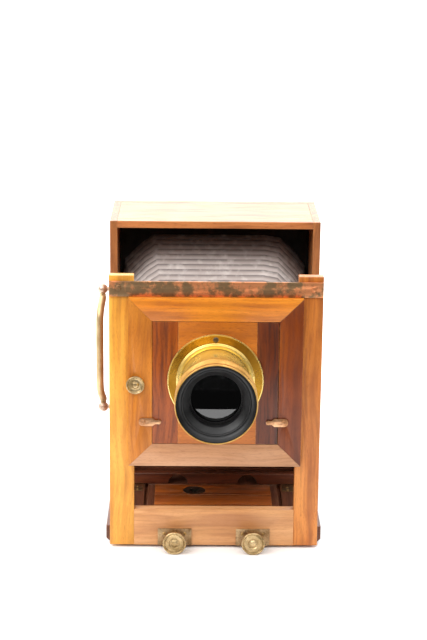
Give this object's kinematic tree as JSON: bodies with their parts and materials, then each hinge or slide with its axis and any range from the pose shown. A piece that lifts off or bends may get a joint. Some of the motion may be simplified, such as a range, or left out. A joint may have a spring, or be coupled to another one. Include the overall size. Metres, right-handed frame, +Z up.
{
  "type": "large format view camera",
  "caption": "Wooden tailboard view camera with tapered bellows, rising lens panel, brass lens, sliding rear box, hinged focusing screen and side handle.",
  "frame": {"origin": "on the underside of the bed, at the centre of its fixed part, on the camera's middle plane", "axes": "+Z up, -Y the way the lens looks, +Y towards the focusing screen, +X to the right as seen from in front of the lens"},
  "size_m": [0.2437, 0.4192, 0.3143],
  "materials": {
    "satin_walnut": "French-polished, amber, open grain",
    "brown_walnut": "French-polished, reddish brown",
    "dark_walnut": "French-polished, dark with black streaks",
    "board_wood": "French-polished, orange, finely speckled",
    "aged_brass": "dull, hand worn",
    "coppery_strap": "lacquer worn to a mottled copper and olive patina",
    "lacquered_brass": "turned and lacquered, bright",
    "black_enamel": "matt black enamel",
    "lens_glass": "polished",
    "screen_glass": "finely ground on one face",
    "bellows_cloth": "black book cloth, greyed on the crests"
  },
  "bodies": {
    "bed": {"bed_panel": "satin_walnut", "tripod_bush": "aged_brass", "tailboard": "brown_walnut", "tail_batten": "dark_walnut", "bed_rail_left": "dark_walnut", "bed_rail_right": "dark_walnut", "tail_hinge_left": "aged_brass", "tail_hinge_right": "aged_brass", "upright_rail": "satin_walnut", "strap": "coppery_strap", "upright_stile_left": "satin_walnut", "upright_stile_right": "satin_walnut", "strap_screw_left": "aged_brass", "strap_screw_right": "aged_brass", "thumb_plate_left": "aged_brass", "thumb_plate_right": "aged_brass"},
    "rising_front": {"rising_stile_left": "brown_walnut", "rising_stile_right": "brown_walnut", "rising_rail_top": "brown_walnut", "rising_rail_bottom": "brown_walnut", "rising_keeper_left": "dark_walnut", "rising_keeper_right": "dark_walnut", "clip_screw_left": "aged_brass", "clip_screw_right": "aged_brass", "lens_board_panel": "board_wood", "lens_board_cleat_left": "dark_walnut", "lens_board_cleat_right": "dark_walnut", "lens_flange": "lacquered_brass", "lens_barrel": "lacquered_brass", "lens_hood": "black_enamel", "front_glass": "lens_glass", "front_retaining_ring": "black_enamel", "lens_stop": "black_enamel", "rear_glass": "lens_glass", "flange_screw_1": "lacquered_brass", "flange_screw_2": "lacquered_brass", "flange_screw_3": "lacquered_brass", "bellows_front": "bellows_cloth"},
    "clip_left": {"turn_clip_left": "aged_brass"},
    "clip_right": {"turn_clip_right": "aged_brass"},
    "rise_knob": {"rise_knob": "aged_brass"},
    "thumb_screw_left": {"thumb_screw_left": "aged_brass"},
    "thumb_screw_right": {"thumb_screw_right": "aged_brass"},
    "rear_box": {"box_side_left": "brown_walnut", "box_side_right": "brown_walnut", "box_lid": "brown_walnut", "box_front_rail": "dark_walnut", "box_floor": "dark_walnut", "back_frame": "brown_walnut", "handle_post_lower": "aged_brass", "handle_post_upper": "aged_brass", "screen_hinge_lower": "aged_brass", "screen_hinge_upper": "aged_brass", "bellows_rear": "bellows_cloth"},
    "handle": {"handle_bail": "aged_brass"},
    "screen": {"screen_frame": "brown_walnut", "ground_glass": "screen_glass", "screen_pull": "aged_brass", "screen_leaf_lower": "aged_brass", "screen_leaf_upper": "aged_brass"}
  },
  "joints": [
    {"name": "rise", "type": "slide", "parent": "bed", "child": "rising_front", "axis": [0, 0, 1], "range_m": [-0.049, 0], "deforming": ["bellows_front"]},
    {"name": "clip_left_turn", "type": "hinge", "parent": "rising_front", "child": "clip_left", "pos_m": [-0.0725, -0.079, 0.1354], "axis": [0, 1, 0], "range_deg": [-100, 100]},
    {"name": "clip_right_turn", "type": "hinge", "parent": "rising_front", "child": "clip_right", "pos_m": [0.0695, -0.079, 0.1354], "axis": [0, 1, 0], "range_deg": [-100, 100]},
    {"name": "rise_knob_turn", "type": "hinge", "parent": "rising_front", "child": "rise_knob", "pos_m": [-0.08, -0.0781, 0.175], "axis": [0, 1, 0], "continuous": true},
    {"name": "thumb_screw_left_turn", "type": "hinge", "parent": "bed", "child": "thumb_screw_left", "pos_m": [-0.0401, -0.0709, 0.0091], "axis": [0, 1, 0], "continuous": true},
    {"name": "thumb_screw_right_turn", "type": "hinge", "parent": "bed", "child": "thumb_screw_right", "pos_m": [0.0401, -0.0709, 0.0091], "axis": [0, 1, 0], "continuous": true},
    {"name": "focus", "type": "slide", "parent": "bed", "child": "rear_box", "axis": [0, 1, 0], "range_m": [-0.118, 0.088], "deforming": ["bellows_rear"]},
    {"name": "handle_swing", "type": "hinge", "parent": "rear_box", "child": "handle", "pos_m": [-0.1219, 0.1121, 0.1571], "axis": [0, 0, 1], "range_deg": [-170, 8]},
    {"name": "screen_swing", "type": "hinge", "parent": "rear_box", "child": "screen", "pos_m": [0.1133, 0.16225, 0.1655], "axis": [0, 0, -1], "range_deg": [0, 172]}
  ]
}
